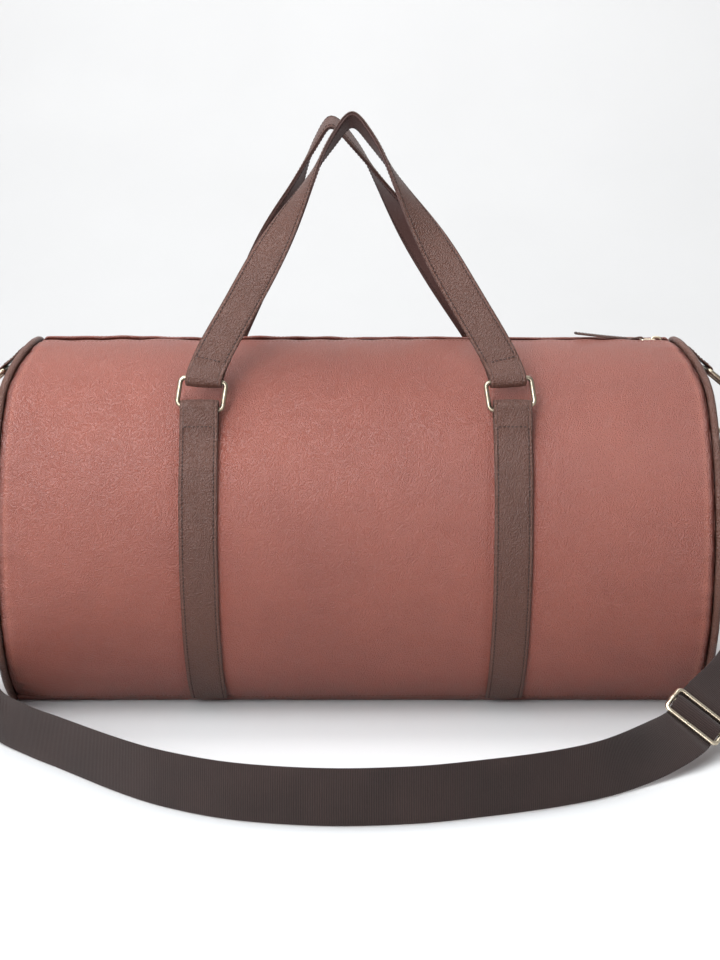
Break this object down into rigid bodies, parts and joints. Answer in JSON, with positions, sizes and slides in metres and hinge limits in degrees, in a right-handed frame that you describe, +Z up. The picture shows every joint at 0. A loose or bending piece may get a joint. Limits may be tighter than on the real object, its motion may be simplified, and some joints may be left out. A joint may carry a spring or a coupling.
{
  "type": "duffel bag",
  "caption": "Barrel-shaped leather weekender bag with carry handles on rings, a top zipper and a webbing shoulder strap clipped to its ends.",
  "frame": {"origin": "on the floor under the middle of the bag, which rests on its base panel", "axes": "+X along the bag's length with the closed slider at its end, -Y towards the front where the shoulder strap lies, +Z up"},
  "size_m": [0.669, 0.4346, 0.46],
  "materials": {
    "tan_leather": "pebbled",
    "brown_leather": "pebbled",
    "leather_backing": "matt",
    "lining_cloth": "woven",
    "board": "matt",
    "zipper_tape": "woven",
    "dark_brass": "antique",
    "light_brass": "brushed",
    "webbing": "ribbed"
  },
  "bodies": {
    "root": {"front_panel": "tan_leather", "back_panel": "tan_leather", "base_panel": "tan_leather", "end_panel_left": "tan_leather", "end_panel_right": "tan_leather", "piping_left": "brown_leather", "piping_right": "brown_leather", "d_ring_tab_left": "brown_leather", "d_ring_tab_right": "brown_leather", "body_strap_front_left": "brown_leather", "body_strap_front_right": "brown_leather", "body_strap_back_left": "brown_leather", "body_strap_back_right": "brown_leather", "lining": "lining_cloth", "lining_end_left": "lining_cloth", "lining_end_right": "lining_cloth", "base_board": "board", "zipper_tape_front": "zipper_tape", "zipper_tape_back": "zipper_tape", "zipper_teeth_front": "dark_brass", "zipper_teeth_back": "dark_brass", "zipper_stop_left": "dark_brass", "zipper_stop_right": "dark_brass", "hook_eye_left": "dark_brass", "hook_eye_right": "dark_brass", "tri_glide": "light_brass", "shoulder_webbing": "webbing"},
    "slider": {"zip_slider": "dark_brass"},
    "link": {"pull_link": "dark_brass"},
    "tab": {"pull_tab": "brown_leather"},
    "front_rings": {"ring_front_left": "dark_brass", "ring_front_right": "dark_brass"},
    "back_rings": {"ring_back_left": "dark_brass", "ring_back_right": "dark_brass"},
    "front_handle": {"handle_front": "brown_leather", "handle_backing_front": "leather_backing"},
    "back_handle": {"handle_back": "brown_leather", "handle_backing_back": "leather_backing"},
    "left_d_ring": {"d_ring_left": "dark_brass"},
    "right_d_ring": {"d_ring_right": "dark_brass"},
    "left_hook": {"hook_left": "dark_brass"},
    "right_hook": {"hook_right": "dark_brass"},
    "left_gate": {"hook_gate_left": "dark_brass"},
    "right_gate": {"hook_gate_right": "dark_brass"}
  },
  "joints": [
    {"name": "zip_slide", "type": "slide", "parent": "root", "child": "slider", "axis": [-1, 0, 0], "range_m": [0, 0.4]},
    {"name": "pull_link_hinge", "type": "hinge", "parent": "slider", "child": "link", "pos_m": [0.2383, 0, 0.2833], "axis": [0, 1, 0], "range_deg": [0, 100]},
    {"name": "pull_tab_hinge", "type": "hinge", "parent": "link", "child": "tab", "pos_m": [0.2273, 0, 0.2833], "axis": [0, 1, 0], "range_deg": [0, 70]},
    {"name": "front_ring_hinge", "type": "hinge", "parent": "root", "child": "front_rings", "pos_m": [0, -0.098, 0.2416], "axis": [1, 0, 0], "range_deg": [0, 100]},
    {"name": "front_handle_hinge", "type": "hinge", "parent": "front_rings", "child": "front_handle", "pos_m": [0, -0.09269, 0.2614], "axis": [1, 0, 0], "range_deg": [0, 75]},
    {"name": "back_ring_hinge", "type": "hinge", "parent": "root", "child": "back_rings", "pos_m": [0, 0.098, 0.2416], "axis": [-1, 0, 0], "range_deg": [0, 100]},
    {"name": "back_handle_hinge", "type": "hinge", "parent": "back_rings", "child": "back_handle", "pos_m": [0, 0.09269, 0.2614], "axis": [-1, 0, 0], "range_deg": [0, 75]},
    {"name": "left_d_ring_hinge", "type": "hinge", "parent": "root", "child": "left_d_ring", "pos_m": [-0.28, 0, 0.26], "axis": [0, 1, 0], "range_deg": [0, 5]},
    {"name": "left_hook_swivel", "type": "hinge", "parent": "root", "child": "left_hook", "pos_m": [-0.31, 0, 0.2131], "axis": [0, 0, 1], "range_deg": [-20, 20]},
    {"name": "left_gate_hinge", "type": "hinge", "parent": "left_hook", "child": "left_gate", "pos_m": [-0.3172, 0, 0.2221], "axis": [0, 1, 0], "range_deg": [0, 18], "stiffness_Nm_per_rad": 0.004},
    {"name": "right_d_ring_hinge", "type": "hinge", "parent": "root", "child": "right_d_ring", "pos_m": [0.28, 0, 0.26], "axis": [0, -1, 0], "range_deg": [0, 5]},
    {"name": "right_hook_swivel", "type": "hinge", "parent": "root", "child": "right_hook", "pos_m": [0.31, 0, 0.2131], "axis": [0, 0, 1], "range_deg": [-20, 20]},
    {"name": "right_gate_hinge", "type": "hinge", "parent": "right_hook", "child": "right_gate", "pos_m": [0.3172, 0, 0.2221], "axis": [0, -1, 0], "range_deg": [0, 18], "stiffness_Nm_per_rad": 0.004}
  ]
}
